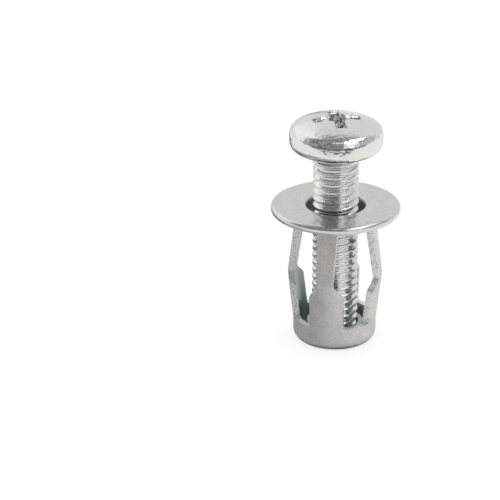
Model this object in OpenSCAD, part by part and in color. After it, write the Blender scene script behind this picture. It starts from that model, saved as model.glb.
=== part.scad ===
// Jack nut with its machine screw. The sleeve is one piece of pierced and rolled steel sheet.
// The screw stands in the sleeve's threaded neck with its tip just inside the foot.
// Millimetres, +Z up along the screw, origin at the centre of the foot.

/* [Thread] */
// Thread diameter, which is the bore of the sleeve's threaded neck
thread_d = 6; // [5:0.1:7]
// Radial gap between the screw's shank and the threaded neck
thread_gap = 0.05; // [0.02:0.01:0.1]
// Radial gap between the thread and the hole through the flange
hole_gap = 0.7; // [0.3:0.05:1]

/* [Sleeve] */
// Height of the sleeve from its foot to the top of the flange
sleeve_h = 18.6; // [15:0.1:26]
// Thickness of the steel sheet
sheet_t = 0.8; // [0.5:0.05:1]
// Outer diameter of the flange
flange_d = 16.6; // [15:0.1:22]
// How far the flange's rim stands below the sunk middle of its underside
rim_drop = 0.2; // [0.1:0.05:0.4]
// Rounding of the flange's outer edges
flange_edge_r = 0.4; // [0.05:0.05:0.5]
// Rounding of the mouth of the hole in the flange
mouth_r = 0.45; // [0.1:0.05:0.6]
// Height of the collar under the flange
collar_h = 2; // [1.5:0.1:3]
// Wall of the collar, which is thinned by drawing
collar_t = 0.7; // [0.5:0.05:0.75]
// Fillet between the collar and the flange, between the legs
collar_fillet = 1; // [0.3:0.1:1.2]
// Height of the closed ring below the legs
ring_h = 3.2; // [2.2:0.1:5]
// Radial width of the rolled foot, from the thread to the outside of the ring
foot_w = 2.35; // [2.2:0.05:3]
// Outer rounding of the rolled foot
foot_outer_r = 1.4; // [1:0.05:1.5]
// Rounding of the foot's lower mouth into the threaded neck
foot_inner_r = 0.6; // [0.3:0.05:0.7]
// Height of the top of the threaded neck
neck_h = 2.4; // [2:0.1:6]
// Wall of the threaded neck
neck_t = 0.65; // [0.4:0.05:0.9]

/* [Legs] */
// Number of legs
leg_count = 4; // [3:1:4]
// How far below the windows the wall starts to lean out
bend_drop = 0.4; // [0.2:0.1:1]
// Height of the kinks
kink_h = 9.3; // [8:0.1:12]
// How far the kinks stand out from the ring
kink_out = 0.75; // [0.2:0.05:2]
// How far the roots of the legs stand in from the ring
root_in = 0.3; // [0:0.05:0.6]
// Outer bend radius of the kinks
kink_r = 1; // [0.3:0.1:3]
// Fillet between the legs and the underside of the flange
root_fillet = 1.1; // [0.3:0.1:1.5]
// Width of a leg above the ring
leg_foot_w = 4.3; // [3:0.1:5]
// Width of a leg at its waist, by the kink
leg_waist_w = 2.1; // [1.4:0.1:2.8]
// Width of a leg at its root
leg_root_w = 2.7; // [1.8:0.1:3.2]
// Depth of the shoulder's upper end below the kink
shoulder_drop = 0.3; // [0:0.1:1]
// Height of the shoulder between the waist and the wide foot of a leg
shoulder_h = 1.1; // [0.5:0.1:2]
// Rounding of a window's upper corners
window_top_r = 1; // [0.3:0.1:1.4]
// Rounding of a window's lower corners
window_foot_r = 0.35; // [0.15:0.05:0.6]
// How deep the piercing bites into the flange's underside, between the legs
pierce_step = 0.1; // [0.05:0.01:0.2]

/* [Screw] */
// Length of the screw below its head
screw_l = 25; // [20:0.5:40]
// Height of the screw's tip above the base of the foot
tip_h = 1.1; // [0.5:0.1:2.5]
// Chamfer at the screw's tip
tip_chamfer = 0.6; // [0.2:0.1:1]
// Diameter of the head
head_d = 12; // [10:0.1:14]
// Height of the head
head_h = 4.35; // [3.8:0.05:5.5]
// Rounding of the head's shoulder
head_shoulder_r = 1.3; // [0.5:0.1:1.8]
// Rise of the dome over the shoulder
dome_rise = 0.95; // [0.4:0.05:1.2]
// Rounding of the head's lower edge
head_edge_r = 1.2; // [0.2:0.05:1.3]
// Fillet between the shank and the head
shank_fillet = 0.3; // [0.1:0.05:0.5]
// Span of the cross recess from arm end to arm end
recess_span = 6.4; // [5:0.1:8]
// Width of an arm of the cross recess
recess_arm_w = 1.5; // [1.2:0.1:2.4]
// Depth of the cross recess below the top of the head
recess_depth = 3; // [2:0.1:3.4]
// Turn of the screw about its axis
screw_turn = -20; // [-45:1:45]

/* [Hidden] */
$fn = 96;
// Largest turn between two points of a rounded corner
arc_step = 15;
// Steps along one shoulder of a leg
shoulder_steps = 8;
// How far a cutting shape reaches past what it cuts
over = 1;

thread_r = thread_d / 2;
shank_r = thread_r - thread_gap;
hole_r = thread_r + hole_gap;
collar_r = hole_r + collar_t;
ring_r = thread_r + foot_w;
neck_r = thread_r + neck_t;
bend_h = ring_h - bend_drop;
kink_out_r = ring_r + kink_out;
root_r = ring_r - root_in;
flange_under = sleeve_h - sheet_t;
rim_under = flange_under - rim_drop;
// The underside is sunk inside this circle, which clears the fillets at the roots of the legs
recess_r = root_r + root_fillet;
collar_under = flange_under - collar_h;
// Inner radius of the legs at the lower end of the collar
collar_leg_r = root_r - sheet_t
    + (kink_out_r - root_r) * collar_h / (flange_under - kink_h);
// The windows are cut from half-way between the neck and the ring to outside the kinks
window_core_r = (neck_r + ring_r - sheet_t) / 2;
window_out_r = kink_out_r + over;
// Under the flange they stop just inside the step round the sunk underside
pierce_r = recess_r - pierce_step / 4;
pierce_h = flange_under + pierce_step;
// The piercing leaves the collar's lower outer edge chamfered
collar_chamfer = sheet_t / 4;
// The rounding of the rim takes no more than half of its thickness
rim_edge_r = min(flange_edge_r, (sheet_t + rim_drop) / 2);
// The corners of the windows run on a little into the ring
leg_foot_h = ring_h - window_foot_r / 4;
shoulder_top = kink_h - shoulder_drop;
shoulder_foot = shoulder_top - shoulder_h;

head_r = head_d / 2;
head_side_h = head_h - head_shoulder_r - dome_rise;
head_top = screw_l + head_h;
// The dome is the sphere that touches the shoulder's arc and the top of the head
shoulder_c = head_r - head_shoulder_r;
dome_r = (shoulder_c ^ 2 + (head_shoulder_r + dome_rise) ^ 2 - head_shoulder_r ^ 2) / (2 * dome_rise);
dome_c = head_h - dome_r;
dome_turn = atan2(head_side_h - dome_c, shoulder_c);
// The ends of the recess lean in by half of their depth, and its floor falls to the middle
recess_lean = 0.5;
recess_floor_fall = 0.6;
// Radius of the recess's round core for each millimetre of an arm's width
recess_core = 1.1;
recess_side_h = recess_depth - recess_floor_fall;

// Points of an arc from one angle to another
function arc(centre, r, from, to, step = arc_step) =
    let (n = max(1, ceil(abs(to - from) / step)))
    [for (i = [0:n]) let (a = from + (to - from) * i / n) centre + r * [cos(a), sin(a)]];

function unit(v) = v / norm(v);
function turn_of(v) = atan2(v[1], v[0]);
// The shorter way round from one angle to another
function short_turn(a) = a > 180 ? a - 360 : a < -180 ? a + 360 : a;

// One corner p of an outline between its neighbours a and b, rounded to radius r
function round_corner(a, p, b, r) =
    let (u = unit(a - p), v = unit(b - p), half = acos(u * v) / 2)
    let (centre = p + unit(u + v) * r / sin(half), reach = r / tan(half))
    let (from = turn_of(p + u * reach - centre), to = turn_of(p + v * reach - centre))
    arc(centre, r, from, from + short_turn(to - from));

// A closed outline from corners given as [radius, height, rounding]
function rounded(corners) =
    let (n = len(corners))
    [for (i = [0:n - 1])
        let (a = corners[(i + n - 1) % n], c = corners[i], b = corners[(i + 1) % n])
        each c[2] > 0
            ? round_corner([a[0], a[1]], [c[0], c[1]], [b[0], b[1]], c[2])
            : [[c[0], c[1]]]];

// Section of the sheet: out along the foot, up the outside, in over the flange, down the inside
module sheet_section() {
    edge_r = sheet_t / 8;
    polygon(rounded([
        [thread_r, 0, foot_inner_r],
        [ring_r, 0, foot_outer_r],
        [ring_r, bend_h, 0],
        [kink_out_r, kink_h, kink_r],
        [root_r, flange_under, root_fillet],
        [recess_r, flange_under, 0],
        [recess_r + rim_drop, rim_under, 0],
        [flange_d / 2, rim_under, rim_edge_r],
        [flange_d / 2, sleeve_h, rim_edge_r],
        [hole_r, sleeve_h, min(mouth_r, sheet_t)],
        [hole_r, collar_under, edge_r],
        [collar_leg_r, collar_under, 0],
        [kink_out_r - sheet_t, kink_h, 0],
        [ring_r - sheet_t, bend_h, 0],
        [ring_r - sheet_t, sheet_t, foot_outer_r - sheet_t],
        [neck_r, sheet_t, edge_r],
        [neck_r, neck_h, edge_r],
        [thread_r, neck_h, edge_r]
    ]));
}

// Right-hand edge of a leg seen from outside: wide foot, shoulder, waist, flared root
function leg_edge() =
    let (root_flare = arc([leg_root_w / 2 + window_top_r, flange_under - window_top_r], window_top_r, 180, 100))
    concat(
    [[leg_foot_w / 2 + window_foot_r, ring_h - over]],
    arc([leg_foot_w / 2 + window_foot_r, leg_foot_h + window_foot_r], window_foot_r, 270, 180),
    [for (i = [0:shoulder_steps])
        let (s = i / shoulder_steps, w = (1 - cos(180 * s)) / 2)
        [(leg_foot_w + (leg_waist_w - leg_foot_w) * w) / 2, shoulder_foot + shoulder_h * s]],
    root_flare,
    [[root_flare[len(root_flare) - 1][0], sleeve_h]]
);

module leg_outline() {
    right = leg_edge();
    left = [for (i = [len(right) - 1:-1:0]) [-right[i][0], right[i][1]]];
    polygon(concat(right, left));
}

// The legs stand half-way between the X and Y axes, so a window faces along each axis
module leg_blanks() {
    for (i = [0:leg_count - 1])
        rotate([0, 0, (i + 0.5) * 360 / leg_count])
            translate([thread_r, 0, 0])
                rotate([90, 0, 90])
                    linear_extrude(flange_d / 2)
                        leg_outline();
}

// What is pierced out of the sheet between the ring and the flange, outside the collar
module windows() {
    difference() {
        rotate_extrude()
            polygon(rounded([
                [window_core_r, ring_h, 0],
                [window_out_r, ring_h, 0],
                [window_out_r, rim_under - pierce_step - (window_out_r - pierce_r), 0],
                [pierce_r, rim_under - pierce_step, 0],
                [pierce_r, pierce_h, 0],
                [collar_r, pierce_h, collar_fillet],
                [collar_r, collar_under + collar_chamfer, 0],
                [window_core_r, collar_under - collar_chamfer, 0]
            ]));
        leg_blanks();
    }
}

module jack_nut() {
    color([0.7, 0.7, 0.68])
        difference() {
            rotate_extrude() sheet_section();
            windows();
        }
}

// Half section of the screw, from the middle of its tip round to the top of its dome
module screw_section() {
    lower = rounded([
        [0, 0, 0],
        [shank_r - tip_chamfer, 0, 0],
        [shank_r, tip_chamfer, 0],
        [shank_r, screw_l, shank_fillet],
        [head_r, screw_l, head_edge_r],
        [head_r, screw_l + head_side_h, 0]
    ]);
    polygon(concat(
        lower,
        arc([shoulder_c, screw_l + head_side_h], head_shoulder_r, 0, dome_turn),
        arc([0, screw_l + dome_c], dome_r, dome_turn, 90, arc_step / 3)
    ));
}

// Two crossed blades with leaning ends, and a round core that opens their inner corners
module cross_recess() {
    half = recess_span / 2;
    foot = half - recess_side_h * recess_lean;
    for (turn = [0, 90])
        rotate([90, 0, turn])
            linear_extrude(recess_arm_w, center = true)
                polygon([
                    [-half, over],
                    [half, over],
                    [half, 0],
                    [foot, -recess_side_h],
                    [0, -recess_depth],
                    [-foot, -recess_side_h],
                    [-half, 0]
                ]);
    translate([0, 0, -recess_side_h])
        cylinder(r1 = recess_arm_w / 2, r2 = recess_arm_w * recess_core, h = recess_side_h + over);
}

module screw() {
    color([0.8, 0.8, 0.79])
        translate([0, 0, tip_h])
            rotate([0, 0, screw_turn])
                difference() {
                    rotate_extrude() screw_section();
                    translate([0, 0, head_top]) cross_recess();
                }
}

jack_nut();
screw();
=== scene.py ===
# %% [markdown]
# # A jack nut and its screw
# A jack nut is a threaded anchor for thin panels. It is one piece of steel sheet: a flange, four kinked
# legs, and a rolled foot whose inner edge is drawn up and threaded. A pan-head screw stands in it.
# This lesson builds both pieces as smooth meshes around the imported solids, plates them with zinc, and
# lights them as bright metal is lit in a studio: with white around them and a dark front for contrast.

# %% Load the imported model
import math

import bmesh
import bpy
import numpy as np
from mathutils import Matrix, Vector


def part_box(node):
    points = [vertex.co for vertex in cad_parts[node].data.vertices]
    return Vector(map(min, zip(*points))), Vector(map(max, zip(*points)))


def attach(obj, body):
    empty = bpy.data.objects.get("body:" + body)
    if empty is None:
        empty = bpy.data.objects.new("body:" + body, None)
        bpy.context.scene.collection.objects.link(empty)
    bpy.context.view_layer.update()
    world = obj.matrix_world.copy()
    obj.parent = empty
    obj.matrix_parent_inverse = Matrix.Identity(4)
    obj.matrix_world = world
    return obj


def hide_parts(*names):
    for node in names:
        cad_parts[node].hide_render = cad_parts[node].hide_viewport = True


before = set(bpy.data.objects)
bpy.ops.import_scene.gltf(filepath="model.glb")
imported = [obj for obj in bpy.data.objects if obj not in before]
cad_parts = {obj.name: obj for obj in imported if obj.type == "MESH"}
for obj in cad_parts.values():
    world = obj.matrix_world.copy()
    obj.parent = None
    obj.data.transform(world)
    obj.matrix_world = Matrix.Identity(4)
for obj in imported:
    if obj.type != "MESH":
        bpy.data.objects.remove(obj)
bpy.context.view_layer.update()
sleeve_low, sleeve_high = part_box("jack_nut")
screw_low, screw_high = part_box("screw")

# %% [markdown]
# ## Working in millimetres
# Blender works in metres, but a fastener is drawn in millimetres. The outlines below are therefore lists
# of (radius, height) in millimetres, and each vertex is scaled once, when it is made. The overall sizes
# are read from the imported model, so that the looks can never drift from the solids. The seat room keeps
# the flange a hair below the plane on which the head comes to rest.

# %% Sizes of the sleeve, in millimetres
MM = 0.001
LEGS = 4
seat_room = 0.005
flange_r = min(sleeve_high.x, sleeve_high.y, -sleeve_low.x, -sleeve_low.y) / MM
sleeve_h = sleeve_high.z / MM - seat_room
sheet_t = 0.8
hole_r = 3.7
mouth_r = 0.45
collar_r = 4.4
collar_h = 2.0
collar_fillet = 1.0
lead_in_r = 0.12
lead_in_h = 0.4
ring_r = 5.35
ring_h = 3.2
bend_h = 2.8
neck_r = 3.65
neck_bore_r = 3.0
neck_h = 2.4
foot_outer_r = 1.4
foot_inner_r = 0.6
cut_edge_r = 0.1
rim_drop = 0.2
rim_edge_r = 0.4
rim_step_r = 0.08
kink_h = 9.3
kink_out_r = 6.1
kink_r = 1.0
root_r = 5.05
root_fillet = 1.1
flange_under = sleeve_h - sheet_t
rim_under = flange_under - rim_drop
recess_r = root_r + root_fillet
collar_under = flange_under - collar_h
fillet_foot = flange_under - root_fillet
print(f"flange {2 * flange_r:.2f} mm across, sleeve {sleeve_h:.2f} mm high")

# %% [markdown]
# ## Rounded outlines
# Sheet metal has no sharp bends, so each outline is a list of corners with a bend radius, and one helper
# turns every corner into an arc. It is the fillet of a technical drawing: step back from the corner along
# both sides, and swing an arc between the two points.

# %% Rounded outlines
ARC_STEP = math.radians(7.5)


def rounded(corners):
    """Turns open (radius, height, rounding) corners into points, with an arc at each rounded corner."""
    points = []
    for index, (x, y, radius) in enumerate(corners):
        corner = Vector((x, y))
        if radius == 0 or index in (0, len(corners) - 1):
            points.append(corner)
            continue
        back = (Vector(corners[index - 1][:2]) - corner).normalized()
        ahead = (Vector(corners[index + 1][:2]) - corner).normalized()
        half = back.angle(ahead) / 2
        centre = corner + (back + ahead).normalized() * radius / math.sin(half)
        start = corner + back * radius / math.tan(half) - centre
        turn = start.angle_signed(corner + ahead * radius / math.tan(half) - centre)
        steps = max(2, math.ceil(abs(turn) / ARC_STEP))
        for k in range(steps + 1):
            points.append(centre + Matrix.Rotation(-turn * k / steps, 2) @ start)
    return points


def subdivided(points, longest):
    """Adds points on the straight stretches, so that no step is longer than the given length."""
    dense = [points[0]]
    for before, after in zip(points, points[1:]):
        pieces = max(1, math.ceil((after - before).length / longest))
        dense += [before.lerp(after, (piece + 1) / pieces) for piece in range(pieces)]
    return dense


sample_bend = rounded([(0, 0, 0), (1, 0, 0.5), (1, 1, 0)])
print("a bend of 90 degrees becomes an arc of", len(sample_bend) - 2, "points")

# %% [markdown]
# ## One leg's edge
# Seen from outside, a leg is wide above the ring, steps in at a soft shoulder, runs up as a narrow strip
# past its kink, and flares into the flange. The strip is cut by a punch that moves towards the axis, so
# its half width depends on the height alone. The waist is the place where the leg later folds.

# %% Half width of a leg
leg_foot_w = 4.3
leg_waist_w = 1.95
leg_root_w = 2.7
shoulder_h = 1.75
window_foot_r = 0.35
window_top_r = 1.0
FLARE_LIMIT = 0.985
shoulder_top = kink_h
shoulder_foot = shoulder_top - shoulder_h
leg_foot_h = ring_h - window_foot_r / 4
corner_top = leg_foot_h + window_foot_r
flare_h = flange_under - window_top_r


def half_width(z):
    """Half width of a leg at a height."""
    if z < corner_top:
        drop = (corner_top - z) / window_foot_r
        return leg_foot_w / 2 + window_foot_r * (1 - math.sqrt(max(0.0, 1 - drop * drop)))
    if z < shoulder_foot:
        return leg_foot_w / 2
    if z < shoulder_top:
        share = (1 - math.cos(math.pi * (z - shoulder_foot) / shoulder_h)) / 2
        return (leg_foot_w + (leg_waist_w - leg_foot_w) * share) / 2
    if z < flare_h:
        share = (z - shoulder_top) / (flare_h - shoulder_top)
        return (leg_waist_w + (leg_root_w - leg_waist_w) * share) / 2
    rise = min(FLARE_LIMIT, (z - flare_h) / window_top_r)
    return leg_root_w / 2 + window_top_r * (1 - math.sqrt(1 - rise * rise))


print(f"a leg is {leg_foot_w} mm wide at its foot and {2 * half_width(kink_h):.2f} mm at its kink")

# %% [markdown]
# The sheet keeps its thickness, so the inner face of a leg follows the outer one. At the root the two
# part: the outside flares into the flange, and the inside meets the collar. The rows of the mesh stand
# close together where the edge curves, and wider apart where it is straight.

# %% Inner and outer face of a leg
leg_outside = rounded([
    (ring_r, bend_h, 0),
    (kink_out_r, kink_h, kink_r),
    (root_r, flange_under, root_fillet),
    (recess_r, flange_under, 0),
])
leg_inside = [
    Vector((ring_r - sheet_t, bend_h)),
    Vector((kink_out_r - sheet_t, kink_h)),
    Vector((collar_r + lead_in_r, collar_under - lead_in_h)),
    Vector((collar_r, collar_under)),
]
collar_outside = rounded([
    (collar_r, collar_under, 0),
    (collar_r, flange_under, collar_fillet),
    (recess_r, flange_under, 0),
])


def radius_at(points, z):
    """Radius of an outline at a height."""
    return float(np.interp(z, [p.y for p in points], [p.x for p in points]))


kink_zone = 0.4
FILLET_ROWS = 14
leg_heights = [ring_h]
for stop, rows in ((corner_top, 6), (shoulder_foot, 15), (shoulder_top, 14),
                   (kink_h + kink_zone, 8), (collar_under, 23), (fillet_foot, 6)):
    leg_heights += list(np.linspace(leg_heights[-1], stop, rows + 1)[1:])
quarter_turn = np.linspace(0, math.pi / 2, FILLET_ROWS + 1)[1:]
leg_heights += list(fillet_foot + root_fillet * np.sin(quarter_turn))
leg_heights[-1] = flange_under
collar_row = leg_heights.index(collar_under)
fillet_end = max(p.x for p in leg_outside[:-1])
collar_end = max(p.x for p in collar_outside[:-1])
outside_r = [radius_at(leg_outside, z) for z in leg_heights[:-1]] + [fillet_end]
inside_r = [radius_at(leg_inside, z) for z in leg_heights[:collar_row]]
inside_r += [radius_at(collar_outside, z) for z in leg_heights[collar_row:-1]] + [collar_end]
print(f"{len(leg_heights)} rows up a leg, kink at {kink_h} mm, {2 * kink_out_r} mm over the kinks")

# %% [markdown]
# ## An eighth of the sleeve
# The sleeve could be a lathe shape with four windows cut out by booleans, but booleans leave ragged
# faces, and bright metal shows each of them. Here the sheet is laid out as patches of quads whose columns
# follow the edge of a leg. The leg is symmetrical and there are four, so only an eighth is made: from the
# middle of a leg to the middle of the window beside it.

# %% Columns of the eighth
LEG_COLUMNS = 7
WINDOW_COLUMNS = 9
eighth_turn = math.pi / LEGS


def place(radius, angle, z):
    """A point at a radius, an angle and a height."""
    return Vector((radius * math.cos(angle), radius * math.sin(angle), z)) * MM


def leg_angles(row, radii):
    """Angles of the leg's columns in one row, from its middle to its edge."""
    width = half_width(leg_heights[row])
    return [math.asin(width * k / LEG_COLUMNS / radii[row]) for k in range(LEG_COLUMNS + 1)]


def window_angles(row, radii):
    """Angles of the window's columns in one row, from the leg's edge to the middle of the window."""
    edge = leg_angles(row, radii)[-1]
    return [edge + (eighth_turn - edge) * k / WINDOW_COLUMNS for k in range(WINDOW_COLUMNS + 1)]


def all_angles(row, radii):
    """Angles of all columns in one row, from the middle of the leg to the middle of the window."""
    return leg_angles(row, radii) + window_angles(row, radii)[1:]


print(f"on the ring a leg reaches {math.degrees(leg_angles(0, outside_r)[-1]):.1f} degrees to each side")

# %% [markdown]
# A patch is a list of rows, and a row is a list of points. Some rows run round the axis and are swept
# along an outline. Others run through the sheet, over the edge that the press has cut.

# %% Rows of the patches
SHEET_COLUMNS = 4


def swept_rows(points, first, last):
    """Rows along an outline, whose column angles change gradually from the first to the last."""
    steps = len(points) - 1
    rows = []
    for index, point in enumerate(points):
        share = index / steps
        rows.append([place(point.x, a + (b - a) * share, point.y) for a, b in zip(first, last)])
    return rows


def across_edge(row):
    """Points across the sheet on the cut edge of a leg, from outside to inside."""
    width = half_width(leg_heights[row])
    outer = math.sqrt(outside_r[row] ** 2 - width ** 2)
    inner = math.sqrt(inside_r[row] ** 2 - width ** 2)
    spots = [outer + (inner - outer) * s / SHEET_COLUMNS for s in range(SHEET_COLUMNS + 1)]
    return [Vector((x, width, leg_heights[row])) * MM for x in spots]


def bridge(row):
    """Rows across the sheet beside a leg: the top of the ring, or the flange's underside."""
    edge = across_edge(row)
    outer = window_angles(row, outside_r)
    inner = window_angles(row, inside_r)
    rows = []
    for s in range(SHEET_COLUMNS + 1):
        share = s / SHEET_COLUMNS
        radius = outside_r[row] + (inside_r[row] - outside_r[row]) * share
        angles = [a + (b - a) * share for a, b in zip(outer, inner)]
        rows.append([edge[s]] + [place(radius, a, leg_heights[row]) for a in angles[1:]])
    return rows


foot_edge = across_edge(0)
print(f"cut edge at the foot of a leg: {(foot_edge[0] - foot_edge[-1]).length / MM:.2f} mm across")

# %% [markdown]
# Below the legs the sheet is drawn in to the rolled foot and up into the neck. Above them it turns out
# into the flange, round its rim, and down into the collar. Each of the two is one outline.

# %% Outlines below and above the legs
SHEET_STEP = 0.3
lower_path = subdivided(rounded([
    (outside_r[0], ring_h, 0),
    (ring_r, bend_h, 0),
    (ring_r, 0, foot_outer_r),
    (neck_bore_r, 0, foot_inner_r),
    (neck_bore_r, neck_h, cut_edge_r),
    (neck_r, neck_h, cut_edge_r),
    (neck_r, sheet_t, cut_edge_r),
    (ring_r - sheet_t, sheet_t, foot_outer_r - sheet_t),
    (ring_r - sheet_t, bend_h, 0),
    (inside_r[0], ring_h, 0),
]), SHEET_STEP)
upper_path = subdivided(rounded([
    (fillet_end, flange_under, 0),
    (recess_r, flange_under, rim_step_r),
    (recess_r + rim_drop, rim_under, rim_step_r),
    (flange_r, rim_under, rim_edge_r),
    (flange_r, sleeve_h, rim_edge_r),
    (hole_r, sleeve_h, mouth_r),
    (hole_r, collar_under, cut_edge_r),
    (collar_r, collar_under, 0),
]), SHEET_STEP)
print(f"{len(lower_path)} points below the legs, {len(upper_path)} above them")

# %% [markdown]
# Each patch carries the number of a finish, because an edge that a press has cut does not look like the
# rolled sheet beside it. Two outlines run through several finishes, so there the place of a face decides:
# the flange is pressed smooth on top and at its rim, the rim is sandy below, the hole's wall is painted
# dark as shade inside the sleeve, and the inside of the ring is dull.

# %% Patches and their finishes
PLAIN, CUT, SANDY, INSIDE, PRESSED, BORE = 0.0, 1.0, 2.0, 3.0, 4.0, 5.0
pressed_r = hole_r + 0.3
sandy_top = rim_under + rim_edge_r / 3
bore_outer_r = hole_r + 0.2
bore_low = neck_h + 1
ground_h = 0.05
inside_wall_r = ring_r - sheet_t + 0.02


def finish_at(centre, planned):
    """The finish of a face: by its place where that decides, and otherwise as its patch has it."""
    radius = math.hypot(centre.x, centre.y) / MM
    z = centre.z / MM
    if z > sleeve_h - rim_edge_r and radius > pressed_r:
        return PRESSED
    if radius > flange_r - rim_edge_r and z > sandy_top:
        return PRESSED
    if radius > recess_r + rim_drop / 2 and fillet_foot < z < sandy_top:
        return SANDY
    if planned == PLAIN and radius < bore_outer_r and z > bore_low:
        return BORE
    if planned == PLAIN and ground_h < z < ring_h and radius < inside_wall_r:
        return INSIDE
    return planned


def face_rows(radii, rows, angles):
    """Rows of one face of the sheet, at the given radii and column angles."""
    return [[place(radii[row], a, leg_heights[row]) for a in angles(row, radii)] for row in rows]


leg_rows = range(len(leg_heights))
patches = [
    (PLAIN, face_rows(outside_r, leg_rows, leg_angles)),
    (CUT, [across_edge(row) for row in leg_rows]),
    (INSIDE, face_rows(inside_r, leg_rows[:collar_row + 1], leg_angles)),
    (PLAIN, swept_rows(lower_path, all_angles(0, outside_r), all_angles(0, inside_r))),
    (CUT, bridge(0)),
    (PLAIN, face_rows(inside_r, leg_rows[collar_row:], window_angles)),
    (PLAIN, bridge(-1)),
    (PLAIN, swept_rows(upper_path, all_angles(-1, outside_r), all_angles(collar_row, inside_r))),
]
print(len(patches), "patches")

# %% [markdown]
# The patches become faces of one net. Neighbours were worked out from the same numbers, so their borders
# meet, and merging the doubles sews them together.

# %% Mesh of the eighth
SEWN = 1e-6


def add_object(name, data):
    """An object with the given data, linked to the scene."""
    made = bpy.data.objects.new(name, data)
    bpy.context.scene.collection.objects.link(made)
    return made


def object_of(name, net):
    """An object made of a finished net; the net is freed."""
    mesh = bpy.data.meshes.new(name)
    net.to_mesh(mesh)
    net.free()
    return add_object(name, mesh)


net = bmesh.new()
finish_layer = net.faces.layers.float.new("finish")
for finish, rows in patches:
    points = [[net.verts.new(point) for point in row] for row in rows]
    for below, above in zip(points, points[1:]):
        for corners in zip(below, below[1:], above[1:], above):
            face = net.faces.new(corners)
            face[finish_layer] = finish_at(face.calc_center_median(), finish)
bmesh.ops.remove_doubles(net, verts=net.verts, dist=SEWN)
sleeve_eighth = object_of("sleeve_eighth", net)
print(f"an eighth of the sleeve has {len(sleeve_eighth.data.polygons)} faces")

# %% [markdown]
# ## Node trees built in the script
# Geometry Nodes suit what repeats or follows a rule: here the ring of legs and the thread. A tree gets
# named inputs, so that its numbers can be changed in the modifier panel without touching its nodes.

# %% Helpers for node trees
GEOMETRY = "NodeSocketGeometry"
MATERIAL = "NodeSocketMaterial"
COLOUR = "NodeSocketColor"
FLOAT = "NodeSocketFloat"
WHOLE = "NodeSocketInt"


def new_tree(name, kind, inputs, outputs):
    """A node tree with named inputs and outputs."""
    tree = bpy.data.node_groups.new(name, kind)
    for title, socket, default in inputs:
        item = tree.interface.new_socket(title, in_out="INPUT", socket_type=socket)
        if default is not None:
            item.default_value = default
    for title, socket in outputs:
        tree.interface.new_socket(title, in_out="OUTPUT", socket_type=socket)
    return tree, tree.nodes.new("NodeGroupInput"), tree.nodes.new("NodeGroupOutput")


def plug(tree, value, socket):
    """Links a socket to an input, or sets the input to a number."""
    if isinstance(value, bpy.types.NodeSocket):
        tree.links.new(value, socket)
    else:
        socket.default_value = value


def fill(tree, node, values):
    """Links or sets inputs of a node by their titles; returns the node."""
    for title, value in values.items():
        plug(tree, value, node.inputs[title])
    return node


def step(tree, kind, **values):
    """Adds one node and fills its inputs; a space in a title is written as an underscore."""
    titled = {title.replace("_", " "): value for title, value in values.items()}
    return fill(tree, tree.nodes.new(kind), titled)


def calc(tree, operation, first, second=0.0):
    """Adds one Math node and returns its result."""
    node = tree.nodes.new("ShaderNodeMath")
    node.operation = operation
    plug(tree, first, node.inputs[0])
    plug(tree, second, node.inputs[1])
    return node.outputs[0]


def product(tree, first, *others):
    """Multiplies values and returns the result."""
    for other in others:
        first = calc(tree, "MULTIPLY", first, other)
    return first


def end_tree(tree, geometry, weld, material, result):
    """Ends a tree: makes copies real, welds what meets, shades it smooth and gives it its finish."""
    real = step(tree, "GeometryNodeRealizeInstances", Geometry=geometry)
    welded = step(tree, "GeometryNodeMergeByDistance", Geometry=real.outputs[0], Distance=weld)
    smooth = step(tree, "GeometryNodeSetShadeSmooth", Geometry=welded.outputs[0])
    painted = step(tree, "GeometryNodeSetMaterial", Geometry=smooth.outputs[0], Material=material)
    tree.links.new(painted.outputs[0], result.inputs[0])


def use_tree(obj, tree, values):
    """Gives an object a tree as a modifier and sets its inputs."""
    modifier = obj.modifiers.new(tree.name, "NODES")
    modifier.node_group = tree
    for item in tree.interface.items_tree:
        if item.item_type == "SOCKET" and item.in_out == "INPUT" and item.name in values:
            modifier[item.identifier] = values[item.name]


def plain_copy(obj, name):
    """The object as its modifiers show it, as a mesh of its own; the original goes."""
    graph = bpy.context.evaluated_depsgraph_get()
    mesh = bpy.data.meshes.new_from_object(obj.evaluated_get(graph))
    mesh.name = name
    bpy.data.objects.remove(obj)
    return add_object(name, mesh)


print("node trees for Blender", bpy.app.version_string)

# %% [markdown]
# ## Repeating the leg
# The eighth is mirrored to a whole leg with its share of ring and flange, and four copies are set round
# the axis. Real legs are pierced in one stroke of a press, so they are truly alike.

# %% Round pattern of legs
WELD = 2e-6
sleeve_zinc = bpy.data.materials.new("sleeve zinc")
pattern, given, result = new_tree(
    "round pattern", "GeometryNodeTree",
    [("Geometry", GEOMETRY, None), ("Count", WHOLE, LEGS),
     ("Weld", FLOAT, WELD), ("Finish", MATERIAL, None)],
    [("Geometry", GEOMETRY)])
dial = given.outputs
mirrored = step(pattern, "GeometryNodeTransform", Geometry=dial["Geometry"], Scale=(1, -1, 1))
turned_out = step(pattern, "GeometryNodeFlipFaces", Mesh=mirrored.outputs[0])
both_halves = pattern.nodes.new("GeometryNodeJoinGeometry")
pattern.links.new(dial["Geometry"], both_halves.inputs[0])
pattern.links.new(turned_out.outputs[0], both_halves.inputs[0])
spots = step(pattern, "GeometryNodePoints", Count=dial["Count"])
number = pattern.nodes.new("GeometryNodeInputIndex")
leg_turn = calc(pattern, "DIVIDE", 2 * math.pi, dial["Count"])
angle = product(pattern, calc(pattern, "ADD", number.outputs[0], 0.5), leg_turn)
rotation = step(pattern, "ShaderNodeCombineXYZ", Z=angle)
copies = step(pattern, "GeometryNodeInstanceOnPoints", Points=spots.outputs[0],
              Instance=both_halves.outputs[0], Rotation=rotation.outputs[0])
end_tree(pattern, copies.outputs[0], dial["Weld"], dial["Finish"], result)
use_tree(sleeve_eighth, pattern, {"Count": LEGS, "Weld": WELD, "Finish": sleeve_zinc})
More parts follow.
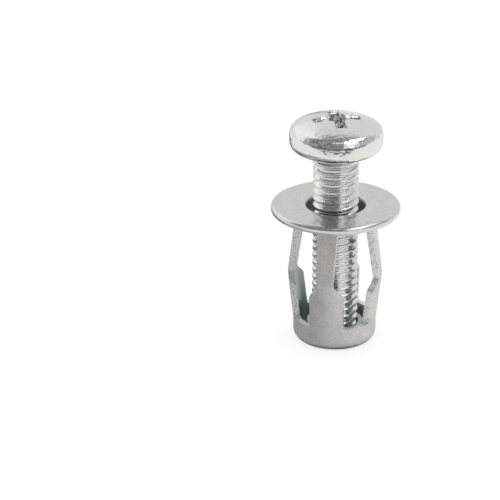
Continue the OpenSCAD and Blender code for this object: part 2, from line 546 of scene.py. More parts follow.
sleeve_rough = plain_copy(sleeve_eighth, "sleeve_rough")
print(f"sleeve: {len(sleeve_rough.data.polygons)} faces, {LEGS} legs")

# %% [markdown]
# A press leaves a small burr and a tumbling drum wears it off, so the pierced edges get a narrow bevel.
# Only edges sharper than the limit are bevelled; the bends of the sheet are already arcs. The bevel marks
# its faces with a second slot, which gives them the finish of a cut edge, and then the slot goes again.
# Mirroring can turn faces inside out, so the normals are worked out again first.

# %% Worn edges
worn_edge = 0.12
worn_angle = math.radians(35)
WORN_SLOT = 1


def bevelled(obj, name, width, angle):
    """Rounds the edges of an object that are sharper than an angle; returns the modifier."""
    bevel = obj.modifiers.new(name, "BEVEL")
    bevel.width = width * MM
    bevel.segments = 3
    bevel.limit_method = "ANGLE"
    bevel.angle_limit = angle
    return bevel


net = bmesh.new()
net.from_mesh(sleeve_rough.data)
bmesh.ops.recalc_face_normals(net, faces=net.faces)
net.to_mesh(sleeve_rough.data)
net.free()
sleeve_rough.data.materials.clear()
for slot_number in range(WORN_SLOT + 1):
    sleeve_rough.data.materials.append(sleeve_zinc)
for face in sleeve_rough.data.polygons:
    face.material_index = 0
bevelled(sleeve_rough, "worn edges", worn_edge, worn_angle).material = WORN_SLOT
sleeve_rough.modifiers.new("even shading", "WEIGHTED_NORMAL")
sleeve = plain_copy(sleeve_rough, "sleeve")
finish_values = sleeve.data.attributes["finish"].data
worn = [face for face in sleeve.data.polygons if face.material_index == WORN_SLOT]
for face in worn:
    finish_values[face.index].value = CUT
    face.material_index = 0
sleeve.data.materials.pop(index=WORN_SLOT)
print(f"sleeve: {len(sleeve.data.polygons)} faces, {len(worn)} of them on worn edges")

# %% [markdown]
# ## The thread
# A rolled M6 thread rises one millimetre for each turn. Each row of this grid follows the helix, so a
# crest is a clean line of vertices all the way up. Rows that would pass the ends of the thread are pressed
# flat against them and then welded, which leaves a plain ring to join the head and the tip to. Under the
# head the groove runs out, and at the tip a cone of 45 degrees cuts it off.

# %% Sizes of the screw, in millimetres
tip_z = screw_low.z / MM
head_r = screw_high.x / MM
shank_r = 2.95
screw_l = 25.0
head_under = tip_z + screw_l
head_h = 4.35
head_top = head_under + head_h
shank_fillet = 0.3
head_edge_r = 1.2
head_shoulder_r = 1.3
dome_rise = 0.95
pitch = 1.0
thread_root_r = 2.47
thread_tip_r = 2.35
thread_end = head_under - shank_fillet
run_out = 1.5
AROUND = 128
TURN_ROWS = 16
turns = math.ceil((thread_end - tip_z) / pitch) + 2
print(f"screw: {screw_l} mm long, {2 * shank_r} mm thick, head {2 * head_r:.2f} mm across")

# %% The grid that becomes a thread
thread_sizes = [
    ("Pitch", FLOAT, pitch * MM),
    ("Crest radius", FLOAT, shank_r * MM),
    ("Root radius", FLOAT, thread_root_r * MM),
    ("Tip radius", FLOAT, thread_tip_r * MM),
    ("Lower end", FLOAT, tip_z * MM),
    ("Upper end", FLOAT, thread_end * MM),
    ("Run-out", FLOAT, run_out * MM),
    ("Turns", WHOLE, turns),
    ("Rows per turn", WHOLE, TURN_ROWS),
    ("Columns", WHOLE, AROUND),
]
thread, given, result = new_tree(
    "rolled thread", "GeometryNodeTree",
    thread_sizes + [("Finish", MATERIAL, None)],
    [("Geometry", GEOMETRY)])
dial = given.outputs
row_count = calc(thread, "ADD", product(thread, dial["Turns"], dial["Rows per turn"]), 1)
grid = step(thread, "GeometryNodeMeshGrid", Size_X=1.0, Size_Y=1.0, Vertices_X=row_count,
            Vertices_Y=calc(thread, "ADD", dial["Columns"], 1))
spot = thread.nodes.new("GeometryNodeInputPosition")
parts = step(thread, "ShaderNodeSeparateXYZ", Vector=spot.outputs[0])
climb = product(thread, calc(thread, "ADD", parts.outputs["X"], 0.5), dial["Turns"])
around = calc(thread, "ADD", parts.outputs["Y"], 0.5)
print("grid of", turns, "turns with", TURN_ROWS, "rows each")

# %% [markdown]
# The groove is a function of how far a row has climbed: flat at the root, a straight flank, flat at the
# crest. A hair is added before the fraction is taken, so that rounding cannot flip it at whole turns.

# %% Height and radius along the thread
ROUNDING_GUARD = 0.0001
ROOT_REACH = 0.1
CREST_REACH = 0.4


def ramp(tree, value, low, high, to_low=0.0, to_high=1.0, smooth=True):
    """Maps a value from one range to another, with soft ends unless smooth is off."""
    node = tree.nodes.new("ShaderNodeMapRange")
    node.interpolation_type = "SMOOTHSTEP" if smooth else "LINEAR"
    for slot_number, number in enumerate((value, low, high, to_low, to_high)):
        plug(tree, number, node.inputs[slot_number])
    return node.outputs[0]


climbed = calc(thread, "FRACT", calc(thread, "ADD", climb, ROUNDING_GUARD))
from_root = calc(thread, "ABSOLUTE", calc(thread, "SUBTRACT", climbed, 0.5))
groove = ramp(thread, from_root, ROOT_REACH, CREST_REACH, 1.0, 0.0, smooth=False)
height = product(thread, calc(thread, "ADD", climb, calc(thread, "SUBTRACT", around, 1.0)), dial["Pitch"])
height = calc(thread, "ADD", height, dial["Lower end"])
height = calc(thread, "MINIMUM", calc(thread, "MAXIMUM", height, dial["Lower end"]), dial["Upper end"])
fade_start = calc(thread, "SUBTRACT", dial["Upper end"], dial["Run-out"])
faded = ramp(thread, height, fade_start, dial["Upper end"], 1.0, 0.0)
full_depth = calc(thread, "SUBTRACT", dial["Crest radius"], dial["Root radius"])
depth = product(thread, full_depth, groove, faded)
cone = calc(thread, "ADD", dial["Tip radius"], calc(thread, "SUBTRACT", height, dial["Lower end"]))
radius = calc(thread, "MINIMUM", calc(thread, "SUBTRACT", dial["Crest radius"], depth), cone)
print(f"thread: {shank_r - thread_root_r:.2f} mm deep")

# %% [markdown]
# The flat grid is now curled into a tube with that radius and height. Welding closes its seam and takes
# up the rows that were pressed flat, and the modifier's result becomes a plain mesh.

# %% The thread as a mesh
screw_zinc = bpy.data.materials.new("screw zinc")
angle = product(thread, around, 2 * math.pi)
curled = step(thread, "ShaderNodeCombineXYZ", X=product(thread, radius, calc(thread, "COSINE", angle)),
              Y=product(thread, radius, calc(thread, "SINE", angle)), Z=height)
moved = step(thread, "GeometryNodeSetPosition", Geometry=grid.outputs["Mesh"], Position=curled.outputs[0])
end_tree(thread, moved.outputs[0], WELD, dial["Finish"], result)
thread_rough = add_object("thread_rough", bpy.data.meshes.new("thread_rough"))
thread_values = {title: value for title, kind, value in thread_sizes}
use_tree(thread_rough, thread, {**thread_values, "Finish": screw_zinc})
thread_piece = plain_copy(thread_rough, "thread_piece")
print(f"thread: {len(thread_piece.data.polygons)} faces")

# %% [markdown]
# ## The head
# A pan head is turned or headed: a lathe outline with a rounded lower edge, a short side, a shoulder and
# a shallow dome. The dome's radius is the one with which it meets the shoulder without a crease.

# %% Head
HEAD_STEP = 0.5
SHOULDER_STEPS = 14
DOME_STEPS = 20
head_side_h = head_h - head_shoulder_r - dome_rise
shoulder_c = head_r - head_shoulder_r
dome_r = (shoulder_c ** 2 + (head_shoulder_r + dome_rise) ** 2 - head_shoulder_r ** 2) / (2 * dome_rise)
dome_c = head_h - dome_r
dome_turn = math.atan2(head_side_h - dome_c, shoulder_c)


def arc(centre, radius, first, last, steps):
    """Points of an arc, from one angle to another."""
    angles = np.linspace(first, last, steps + 1)
    return [Vector((centre[0] + radius * math.cos(a), centre[1] + radius * math.sin(a))) for a in angles]


def lathe(name, path, top):
    """A closed mesh turned from an outline, with a flat foot and a point at the top."""
    net = bmesh.new()
    angles = [2 * math.pi * k / AROUND for k in range(AROUND)]
    rings = [[net.verts.new(place(point.x, a, point.y)) for a in angles] for point in path]
    for low, high in zip(rings, rings[1:]):
        for k in range(AROUND):
            after = (k + 1) % AROUND
            net.faces.new((low[k], low[after], high[after], high[k]))
    for ring, height, turned in ((rings[0], path[0].y, True), (rings[-1], top, False)):
        middle = net.verts.new((0, 0, height * MM))
        for k in range(AROUND):
            pair = (ring[k], ring[(k + 1) % AROUND])
            net.faces.new((pair[1], pair[0], middle) if turned else (pair[0], pair[1], middle))
    return object_of(name, net)


underside = rounded([
    (shank_r, thread_end, 0),
    (shank_r, head_under, shank_fillet),
    (head_r, head_under, head_edge_r),
    (head_r, head_under + head_side_h, 0),
])
head_path = [Vector((shank_r, thread_end))] + underside[2:-1]
head_path += arc((shoulder_c, head_under + head_side_h), head_shoulder_r, 0, dome_turn, SHOULDER_STEPS)
head_path += arc((0, head_under + dome_c), dome_r, dome_turn, math.pi / 2, DOME_STEPS)[1:-1]
head_path = subdivided(head_path, HEAD_STEP)
head_rough = lathe("head_rough", head_path, head_top)
print(f"head outline: {len(head_path)} points, dome of {dome_r:.1f} mm radius")

# %% [markdown]
# ## The cross recess
# The recess is struck by a punch with four tapering wings and a round core. Three convex hulls stand for
# the punch, and booleans press them into the closed head, before it is joined to the thread. The struck
# edges get a narrow bevel, which catches the light.

# %% Punch for the recess
SCREW_TURN = math.radians(-20)
CORE_SIDES = 48
recess_half = 3.2
recess_arm = 0.75
recess_side_h = 2.4
recess_depth = 3.0
above_head = 1.0
mouth_h = 0.1
mouth_longer = 0.1
mouth_wider = 0.06
point_half = 0.1
foot_arm = 0.72 * recess_arm
point_arm = 0.6 * recess_arm
core_upper_r = 1.68
core_r = 1.47
core_foot_r = 0.7


def hull(name, points):
    """A closed mesh around points, in millimetres from the top of the head."""
    net = bmesh.new()
    for x, y, z in points:
        net.verts.new(Vector((x, y, head_top + z)) * MM)
    bmesh.ops.convex_hull(net, input=net.verts)
    bmesh.ops.recalc_face_normals(net, faces=net.faces)
    return object_of(name, net)


def blade(name, turn):
    """One of the two crossed blades of the punch; its ends lean in and its sides taper a little."""
    spots = []
    for long, wide, z in ((recess_half + mouth_longer, recess_arm + mouth_wider, above_head),
                          (recess_half, recess_arm, -mouth_h),
                          (recess_half - recess_side_h / 2, foot_arm, -recess_side_h),
                          (point_half, point_arm, -recess_depth)):
        corners = [Vector((a * long, b * wide, z)) for a in (-1, 1) for b in (-1, 1)]
        spots += [Matrix.Rotation(turn, 3, "Z") @ corner for corner in corners]
    return hull(name, spots)


core = []
core_turns = np.linspace(0, 2 * math.pi, CORE_SIDES + 1)[:-1]
for radius, z in ((core_upper_r, above_head), (core_r, 0.0), (core_foot_r, -recess_side_h)):
    core += [Vector((radius * math.cos(a), radius * math.sin(a), z)) for a in core_turns]
punches = [
    hull("core", core),
    blade("blade_long", SCREW_TURN),
    blade("blade_across", SCREW_TURN + math.pi / 2),
]
print(f"punch of {len(punches)} hulls, {2 * recess_half} mm across, {recess_depth} mm deep")

# %% Struck head
struck_edge = 0.09
struck_angle = math.radians(40)
for punch in punches:
    cut = head_rough.modifiers.new(punch.name, "BOOLEAN")
    cut.operation = "DIFFERENCE"
    cut.solver = "EXACT"
    cut.object = punch
bevelled(head_rough, "struck edges", struck_edge, struck_angle)
head_piece = plain_copy(head_rough, "head_piece")
for punch in punches:
    bpy.data.objects.remove(punch)
print(f"head: {len(head_piece.data.polygons)} faces")

# %% [markdown]
# ## Joining head, thread and tip
# The head's flat foot is taken away, its ring is welded to the ring at the upper end of the thread, and a
# flat disc closes the tip. The screw is then one closed piece, as it is on the bench.

# %% Joined screw
LEVEL = 1e-7
net = bmesh.new()
net.from_mesh(head_piece.data)
foot_z = head_path[0].y * MM
foot_faces = [f for f in net.faces if all(abs(v.co.z - foot_z) < LEVEL for v in f.verts)]
bmesh.ops.delete(net, geom=foot_faces, context="FACES")
loose = [v for v in net.verts if not v.link_faces]
bmesh.ops.delete(net, geom=loose, context="VERTS")
net.from_mesh(thread_piece.data)
bmesh.ops.remove_doubles(net, verts=net.verts, dist=WELD)
rim = [e for e in net.edges if e.is_boundary]
print(f"open edges at the tip: {len(rim)} of {AROUND}")
bmesh.ops.holes_fill(net, edges=rim, sides=0)
bmesh.ops.recalc_face_normals(net, faces=net.faces)
for face in net.faces:
    face.smooth = True
    face.material_index = 0
open_edges = sum(1 for e in net.edges if not e.is_manifold)
screw_rough = object_of("screw_rough", net)
screw_rough.data.materials.append(screw_zinc)
screw_rough.modifiers.new("even shading", "WEIGHTED_NORMAL")
screw = plain_copy(screw_rough, "pan_head_screw")
bpy.data.objects.remove(head_piece)
bpy.data.objects.remove(thread_piece)
print(f"screw: {len(screw.data.polygons)} faces, {open_edges} open edges")

# %% [markdown]
# ## Taking the place of the solids
# The imported model knows two bodies, the nut and the screw that travels in it. Each finished mesh rides on
# its body and stands in for its solid.

# %% Each piece takes the place of its solid
for piece, node, body, slot_name in (
        (sleeve, "jack_nut", "nut", "sleeve_zinc"),
        (screw, "screw", "screw", "screw_zinc")):
    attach(piece, body)
    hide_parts(node)
    print(f"{piece.name} replaces {node} and rides on {body}")

# %% [markdown]
# ## Zinc plate
# Bright zinc is a mirror with faults: a tint that drifts between bluish and yellowish grey, a surface that
# is not quite flat, fine grain, and small dents from the bin. Three node groups hold those faults, and
# each finish uses them with its own numbers.

# %% Tint of the plating
MIX_FIRST, MIX_SECOND, MIX_RESULT = 6, 7, 2


def blend(tree, mask, first, second, kind="MIX"):
    """Mixes two colours by a mask and returns the result."""
    node = tree.nodes.new("ShaderNodeMix")
    node.data_type = "RGBA"
    node.blend_type = kind
    plug(tree, mask, node.inputs["Factor"])
    plug(tree, first, node.inputs[MIX_FIRST])
    plug(tree, second, node.inputs[MIX_SECOND])
    return node.outputs[MIX_RESULT]


def dimmed(tree, colour, value):
    """Multiplies a colour by a value and returns the result."""
    return blend(tree, 1.0, colour, value, kind="MULTIPLY")


def grey(level):
    """A neutral colour."""
    return (level, level, level, 1)


def on_object(tree):
    """The place on the object, in metres."""
    return tree.nodes.new("ShaderNodeTexCoord").outputs["Object"]


def noise(tree, where, scale, detail):
    """Adds a Noise Texture and returns its value."""
    return step(tree, "ShaderNodeTexNoise", Vector=where, Scale=scale, Detail=detail).outputs["Fac"]


plating, given, result = new_tree(
    "plating tint", "ShaderNodeTree",
    [("Scale", FLOAT, 1.0), ("Cool", COLOUR, (0.7, 0.72, 0.74, 1)), ("Warm", COLOUR, (0.76, 0.74, 0.7, 1))],
    [("Color", COLOUR), ("Patch", FLOAT)])
drift = noise(plating, on_object(plating), given.outputs["Scale"], detail=3.0)
patch = ramp(plating, drift, 0.35, 0.65)
tinted = blend(plating, patch, given.outputs["Cool"], given.outputs["Warm"])
fill(plating, result, {"Color": tinted, "Patch": patch})
print("shared effect:", plating.name)

# %% Grain of the sheet
grain, given, result = new_tree(
    "sheet grain", "ShaderNodeTree",
    [("Wave scale", FLOAT, 400.0), ("Wave depth", FLOAT, 0.5),
     ("Grain scale", FLOAT, 4000.0), ("Grain depth", FLOAT, 0.5)],
    [("Height", FLOAT), ("Speckle", FLOAT)])
where = on_object(grain)
waves = noise(grain, where, given.outputs["Wave scale"], detail=1.0)
speckle = noise(grain, where, given.outputs["Grain scale"], detail=2.0)
tall = product(grain, waves, given.outputs["Wave depth"])
small = product(grain, speckle, given.outputs["Grain depth"])
fill(grain, result, {"Height": calc(grain, "ADD", tall, small), "Speckle": speckle})
print("shared effect:", grain.name)

# %% Dents from the bin
dents, given, result = new_tree(
    "bin dents", "ShaderNodeTree",
    [("Scale", FLOAT, 500.0), ("Size", FLOAT, 0.12), ("Share", FLOAT, 0.3)],
    [("Dent", FLOAT)])
cells = step(dents, "ShaderNodeTexVoronoi", Vector=on_object(dents), Scale=given.outputs["Scale"])
pit = ramp(dents, cells.outputs["Distance"], 0.0, given.outputs["Size"], 1.0, 0.0)
lot = step(dents, "ShaderNodeSeparateColor", Color=cells.outputs["Color"])
chosen = calc(dents, "LESS_THAN", lot.outputs[0], given.outputs["Share"])
fill(dents, result, {"Dent": product(dents, pit, chosen)})
print("shared effect:", dents.name)

# %% [markdown]
# ## The screw's finish
# The screw is nearly a mirror, apart from two places. The walls of the recess are torn by the punch: light
# and dark flecks over a rough bump, which fade out on the dome around it. The bump and the light flecks are
# the torn metal; the dark flecks are painted shade in the recess. The underside of the head is painted
# darker, as shade in the corner under it. Masks find both places from the screw's own coordinates, the
# height and the distance from the axis, so no texture has to be painted and the marks travel with it.

# %% Places on the screw that differ
top_zone = (head_under + 0.9, head_under + 1.0)
burr_fade = (2.4, 3.8)
recess_fade = (3.3, 3.6)
wall_depth = (0.05, 0.4)
# Heights of the band of painted shade under the head.
corner_rise = (head_under - 0.3, head_under - 0.05)
corner_fall = (head_under + 0.3, head_under + 0.65)


def start_material(material):
    """Empties a material to one Principled shader and its output."""
    material.use_nodes = True
    tree = material.node_tree
    tree.nodes.clear()
    end = tree.nodes.new("ShaderNodeOutputMaterial")
    shader = tree.nodes.new("ShaderNodeBsdfPrincipled")
    tree.links.new(shader.outputs[0], end.inputs["Surface"])
    return tree, shader


def vector_node(tree, operation, vector):
    """Adds one Vector Math node that takes a vector; returns the node."""
    node = tree.nodes.new("ShaderNodeVectorMath")
    node.operation = operation
    tree.links.new(vector, node.inputs[0])
    return node


def in_mm(tree):
    """The place on the object, in millimetres."""
    node = vector_node(tree, "SCALE", on_object(tree))
    node.inputs["Scale"].default_value = 1 / MM
    return node.outputs["Vector"]


def falling(tree, value, fade):
    """A mask that is full below a stretch of a value and gone above it."""
    return ramp(tree, value, *fade, 1.0, 0.0)


def between(tree, value, rise, fall):
    """A mask that rises over one stretch of a value and falls over another."""
    return product(tree, ramp(tree, value, *rise), falling(tree, value, fall))


tree, shader = start_material(screw_zinc)
spot = step(tree, "ShaderNodeSeparateXYZ", Vector=in_mm(tree))
height = spot.outputs["Z"]
from_axis = step(tree, "ShaderNodeCombineXYZ", X=spot.outputs["X"], Y=spot.outputs["Y"])
off_axis = vector_node(tree, "LENGTH", from_axis.outputs[0]).outputs["Value"]
on_top = ramp(tree, height, *top_zone)
burred = product(tree, on_top, falling(tree, off_axis, burr_fade))
dome_fall = product(tree, off_axis, off_axis, 0.5 / dome_r)
below_dome = calc(tree, "SUBTRACT", calc(tree, "SUBTRACT", head_top, dome_fall), height)
# The recess walls: torn metal, with dark flecks of painted shade that fade in with the depth.
struck = product(tree, ramp(tree, below_dome, *wall_depth), on_top, falling(tree, off_axis, recess_fade))
# Painted shade: a darker band at the head's lower rounding.
shaded = between(tree, height, corner_rise, corner_fall)
print("screw: torn recess and dull corner under the head")

# %% Screw finish
# Painted shade: the colour under the head, and the dark flecks in the recess.
UNDER_HEAD_SHADE = (0.42, 0.42, 0.41, 1)
RECESS_SHADE = (0.25, 0.25, 0.24, 1)
TORN_LIGHT = (0.98, 0.98, 0.97, 1)
DOME_BURR = 1.5
WALL_BURR = 6.0


def group(tree, source, values):
    """Adds a shared effect to a material and sets its numbers."""
    node = tree.nodes.new("ShaderNodeGroup")
    node.node_tree = source
    return fill(tree, node, values)


tint = group(tree, plating, {
    "Scale": 350.0, "Cool": (0.84, 0.85, 0.855, 1), "Warm": (0.88, 0.87, 0.85, 1)})
marks = group(tree, grain, {
    "Wave scale": 1600.0, "Wave depth": 1.0, "Grain scale": 6000.0, "Grain depth": 0.12})
nicks = group(tree, dents, {"Scale": 450.0, "Size": 0.13, "Share": 0.25})
burrs = noise(tree, on_object(tree), scale=1700.0, detail=1.0)
burr_depth = calc(tree, "ADD", product(tree, burred, DOME_BURR), product(tree, struck, WALL_BURR))
relief = calc(tree, "SUBTRACT", marks.outputs["Height"], nicks.outputs["Dent"])
relief = calc(tree, "ADD", relief, product(tree, burr_depth, burrs))
bump = step(tree, "ShaderNodeBump", Strength=0.6, Distance=0.08 * MM, Height=relief)
mottle = ramp(tree, marks.outputs["Speckle"], 0.35, 0.65, 0.94, 1.02)
# Painted shade under the head.
colour = blend(tree, shaded, dimmed(tree, tint.outputs["Color"], mottle), UNDER_HEAD_SHADE)
# Dark flecks of painted shade among the light torn metal of the recess.
torn_and_shaded = blend(tree, ramp(tree, burrs, 0.4, 0.47), RECESS_SHADE, TORN_LIGHT)
colour = blend(tree, struck, colour, torn_and_shaded)
rough = ramp(tree, tint.outputs["Patch"], 0, 1, 0.1, 0.17)
fill(tree, shader, {"Base Color": colour, "Metallic": 1.0, "Roughness": rough, "Normal": bump.outputs[0]})
print("screw: bright zinc")

# %% [markdown]
# ## The sleeve's finish
# The sleeve is plated too, but its sheet was rolled and drawn before, so it is satin. The number on each
# face says what was done to it. A cut or worn edge is light with dark grains. The flange is pressed
# smooth, with a few dark pits and a faint mottle, and the rim below it is sandy. The inside of the legs
# and the ring is a cool grey, and the wall of the hole is painted dark, as shade inside the sleeve. Above
# the kink the legs are warmer and gritty.

# %% Places on the sleeve that differ
grit_rise = (kink_h, kink_h + 2)


def is_finish(tree, number, code):
    """A mask for the faces that carry one number."""
    off = calc(tree, "ABSOLUTE", calc(tree, "SUBTRACT", number, code))
    return calc(tree, "LESS_THAN", off, 0.5)


tree, shader = start_material(sleeve_zinc)
made = tree.nodes.new("ShaderNodeAttribute")
made.attribute_name = "finish"
cut_mask, sandy_mask, inside_mask, pressed_mask, bore_mask = [
    is_finish(tree, made.outputs["Fac"], code) for code in (CUT, SANDY, INSIDE, PRESSED, BORE)]
tint = group(tree, plating, {
    "Scale": 420.0, "Cool": (0.69, 0.70, 0.695, 1), "Warm": (0.78, 0.765, 0.745, 1)})
marks = group(tree, grain, {
    "Wave scale": 600.0, "Wave depth": 1.0, "Grain scale": 3800.0, "Grain depth": 0.14})
nicks = group(tree, dents, {"Scale": 400.0, "Size": 0.13, "Share": 0.2})
pits = group(tree, dents, {"Scale": 700.0, "Size": 0.22, "Share": 0.16})
speckle = marks.outputs["Speckle"]
height = step(tree, "ShaderNodeSeparateXYZ", Vector=in_mm(tree)).outputs["Z"]
gritty = product(tree, ramp(tree, height, *grit_rise), ramp(tree, speckle, 0.4, 0.6),
                 ramp(tree, tint.outputs["Patch"], 0, 1, 0.35, 1.0))
print("sleeve: six finishes on", len(patches), "patches")

# %% Colours of the sleeve
WARM_GRIT = (0.84, 0.76, 0.7, 1)
CUT_DARK = (0.55, 0.55, 0.54, 1)
CUT_LIGHT = (0.98, 0.98, 0.96, 1)
PRESSED_COOL = (0.735, 0.75, 0.75, 1)
PRESSED_WARM = (0.775, 0.77, 0.745, 1)
INSIDE_GREY = (0.66, 0.72, 0.7, 1)
# Painted shade: the hole's wall, dark as the shade inside the sleeve.
BORE_SHADE = (0.34, 0.39, 0.37, 1)
PIT_GREY = grey(0.4)
satin = dimmed(tree, tint.outputs["Color"], ramp(tree, speckle, 0.35, 0.65, 0.86, 1.0))
satin = blend(tree, gritty, satin, WARM_GRIT)
sheared = blend(tree, ramp(tree, speckle, 0.32, 0.5), CUT_DARK, CUT_LIGHT)
pressed = blend(tree, tint.outputs["Patch"], PRESSED_COOL, PRESSED_WARM)
pressed = blend(tree, pits.outputs["Dent"], pressed, PIT_GREY)
pressed = dimmed(tree, pressed, ramp(tree, speckle, 0.35, 0.65, 0.93, 1.03))
colour = satin
for mask, shade in ((cut_mask, sheared), (pressed_mask, pressed),
                    (inside_mask, INSIDE_GREY), (bore_mask, BORE_SHADE)):
    colour = blend(tree, mask, colour, shade)
print("sleeve: colours are mixed")

# %% Sleeve finish
PRESSED_SMOOTHER = 0.25
PRESSED_RELIEF = 0.3
CUT_ROUGHER = 0.1
CUT_GRAIN = 1.5
rough = ramp(tree, speckle, 0.3, 0.7, 0.36, 0.46)
rough = calc(tree, "SUBTRACT", rough, product(tree, pressed_mask, PRESSED_SMOOTHER))
coarse_mask = calc(tree, "ADD", cut_mask, sandy_mask)
rough = calc(tree, "ADD", rough, product(tree, coarse_mask, CUT_ROUGHER))
relief = calc(tree, "SUBTRACT", marks.outputs["Height"], nicks.outputs["Dent"])
relief = calc(tree, "ADD", relief, product(tree, cut_mask, speckle, CUT_GRAIN))
relief = product(tree, relief, ramp(tree, pressed_mask, 0, 1, 1.0, PRESSED_RELIEF))
bump = step(tree, "ShaderNodeBump", Strength=0.5, Distance=0.06 * MM, Height=relief)
fill(tree, shader, {"Base Color": colour, "Metallic": 1.0, "Roughness": rough, "Normal": bump.outputs[0]})
print("sleeve: satin zinc")

# %% [markdown]
# ## Studio
# Metal has no colour of its own to speak of: it shows the room. This room is pale, with a dim ceiling and
# a bright place behind at the left. Its front is dark and cluttered, because the photographer stands
# there, with a warm glow low down. A bright window is at the right, between the dark front and a grey
# wall, and two lamps above give the glints. The room is painted on the sky by direction, which needs no
# cards and has soft edges. Only reflections see it; the camera sees white, and the light that falls on
# the floor is even.

# %% Directions seen from the object
CAMERA_TURN = math.radians(-32.8)
CAMERA_RISE = math.radians(22.92)


def facing(turn, rise):
    """Direction from the object, as an angle from the camera's side and an angle above the floor."""
    around = CAMERA_TURN + turn
    return Vector((math.sin(around) * math.cos(rise), -math.cos(around) * math.cos(rise), math.sin(rise)))


def along(tree, vector, direction):
    """How far a vector goes in a direction."""
    node = vector_node(tree, "DOT_PRODUCT", vector)
    node.inputs[1].default_value = direction
    return node.outputs["Value"]


front = facing(0, 0)
right = facing(math.pi / 2, 0)
print("the camera's side:", [round(part, 3) for part in front])

# %% [markdown]
# Two angles name a place in the room: one to the side, and one along the arch that rises from the front,
# passes over the top at 90 degrees and comes down behind. Each panel has a range of both and a soft edge,
# and later panels are painted over earlier ones.

# %% Room
DEGREES = 180 / math.pi
room = bpy.data.worlds.new("white room")
bpy.context.scene.world = room
room.use_nodes = True
tree = room.node_tree
ray = tree.nodes.new("ShaderNodeTexCoord").outputs["Generated"]
side = product(tree, calc(tree, "ARCSINE", along(tree, ray, right)), DEGREES)
arch = calc(tree, "ARCTAN2", along(tree, ray, (0, 0, 1)), along(tree, ray, front))
arch = product(tree, arch, DEGREES)
things = ramp(tree, noise(tree, ray, scale=9.0, detail=3.0), 0.42, 0.6)
clutter = blend(tree, things, (0.05, 0.05, 0.055, 1), (0.46, 0.46, 0.47, 1))
panels = {
    "dim ceiling": ((-48, 50), (60, 118), 9, grey(0.23)),
    "dark front": ((-66, 18), (-40, 82), 5, clutter),
    "warm glow": ((-38, 22), (-30, 4), 8, (0.4, 0.34, 0.31, 1)),
    "left wall": ((-95, -68), (-40, 80), 6, (0.42, 0.42, 0.41, 1)),
    "bright back": ((-80, -14), (104, 160), 6, (0.98, 0.98, 0.94, 1)),
    "long lamp": ((17, 37), (54, 112), 4, grey(2.2)),
    "window": ((20, 48), (-20, 58), 5, (1.0, 1.03, 1.05, 1)),
    "right wall": ((48, 80), (-40, 140), 6, (0.5, 0.49, 0.5, 1)),
    "small lamp": ((-2, 8), (54, 70), 2, grey(1.2)),
}
sight = (0.74, 0.74, 0.73, 1)
for sides, arches, soft, shade in panels.values():
    mask = product(tree, *[
        between(tree, angle, (low - soft, low + soft), (high - soft, high + soft))
        for angle, (low, high) in ((side, sides), (arch, arches))])
    sight = blend(tree, mask, sight, shade)
print("room:", ", ".join(panels))

# %% Light of the room
path = tree.nodes.new("ShaderNodeLightPath").outputs
shown = calc(tree, "MAXIMUM", path["Is Glossy Ray"], path["Is Transmission Ray"])
light = blend(tree, shown, grey(0.95), sight)
light = blend(tree, path["Is Camera Ray"], light, grey(1))
fill(tree, tree.nodes["Background"], {"Color": light, "Strength": 1.0})
print("room: seen in reflections alone")

# %% [markdown]
# ## Table
# The table is white paper, and the object's shadow falls on it. In reflections it is not all white. It
# ends a hand's breadth in front of the object, where the dark front of the room begins. Painted shade
# darkens two areas at the left, and a ring close around the foot, where hardly any light gets under the
# rolled edge.

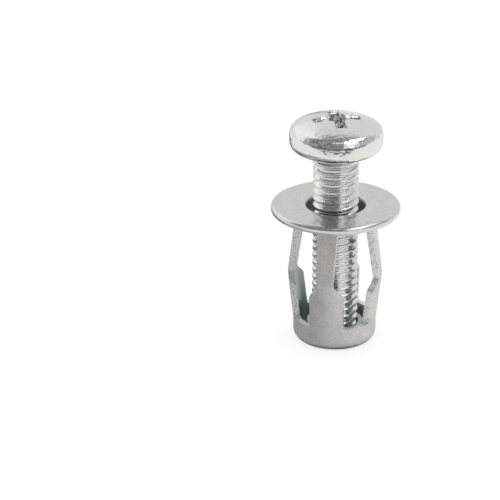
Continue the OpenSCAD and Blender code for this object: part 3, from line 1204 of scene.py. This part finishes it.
# %% Paper and its painted shade, in millimetres
table_edge = (70, 78)
near_painted_shade = ((-60, -40), (-12, 8), (20, 35))
far_painted_shade = ((-46, -40), (-22, -14), (-8, 2))
foot_shade = (5.0, 5.5)
floor_half = 1000 * MM
floor_corners = [(x * floor_half, y * floor_half, 0) for x, y in ((-1, -1), (1, -1), (1, 1), (-1, 1))]
floor_mesh = bpy.data.meshes.new("floor")
floor_mesh.from_pydata(floor_corners, [], [(0, 1, 2, 3)])
floor = add_object("floor", floor_mesh)
paper = bpy.data.materials.new("white paper")
floor_mesh.materials.append(paper)
tree, shader = start_material(paper)
where = in_mm(tree)
across = along(tree, where, right)
ahead = along(tree, where, front)
away = vector_node(tree, "LENGTH", where).outputs["Value"]
path = tree.nodes.new("ShaderNodeLightPath").outputs
in_mirror = (0.95, 0.95, 0.94, 1)
# Painted shade on the paper: two areas at the left, then a ring close around the foot.
for (rise, fall, end), shade in ((near_painted_shade, (0.46, 0.46, 0.45, 1)), (far_painted_shade, grey(0.24))):
    area = product(tree, between(tree, across, rise, fall), falling(tree, ahead, end))
    in_mirror = blend(tree, area, in_mirror, shade)
in_mirror = blend(tree, falling(tree, away, foot_shade), in_mirror, grey(0.3))
past_edge = product(tree, ramp(tree, ahead, *table_edge), path["Is Glossy Ray"])
in_mirror = blend(tree, past_edge, in_mirror, grey(0.12))
print("table: grey areas and a shade at the foot")

# %% [markdown]
# To the camera the paper is a mid grey that also glows. The glow brings it to white where the light is
# full, and the grey part still darkens where the object keeps the light away, so the shadow stays.

# %% Table
PAPER_GLOW = 0.76
fill(tree, shader, {
    "Base Color": blend(tree, path["Is Camera Ray"], in_mirror, grey(0.3)),
    "Roughness": 1.0,
    "Specular IOR Level": 0.0,
    "Emission Color": grey(1),
    "Emission Strength": product(tree, path["Is Camera Ray"], PAPER_GLOW),
})
print("table and room are ready")

# %% [markdown]
# ## Camera
# A product photographer stands well back with a long lens, so the lines of the object stay nearly
# parallel. The direction, distance and aim come from measured edges of the picture.

# %% Camera
focus_h = 15.5
camera_far = 400
aim_left = 10.93
aim_down = 3.229
back = facing(0, CAMERA_RISE)
up = back.cross(right)
focus = Vector((0, 0, focus_h)) * MM
aim = focus - aim_left * MM * right - aim_down * MM * up
camera_data = bpy.data.cameras.new("camera")
camera_data.lens = 224.5
camera_data.sensor_width = 36
camera_data.clip_start = 0.01
camera_data.clip_end = 10
camera = add_object("camera", camera_data)
camera.location = focus + camera_far * MM * back
camera.rotation_euler = (aim - camera.location).to_track_quat("-Z", "Y").to_euler()
bpy.context.scene.camera = camera
bpy.context.scene.view_settings.view_transform = "Standard"
print(f"camera: {camera_far} mm away, {camera_data.lens:.1f} mm lens")
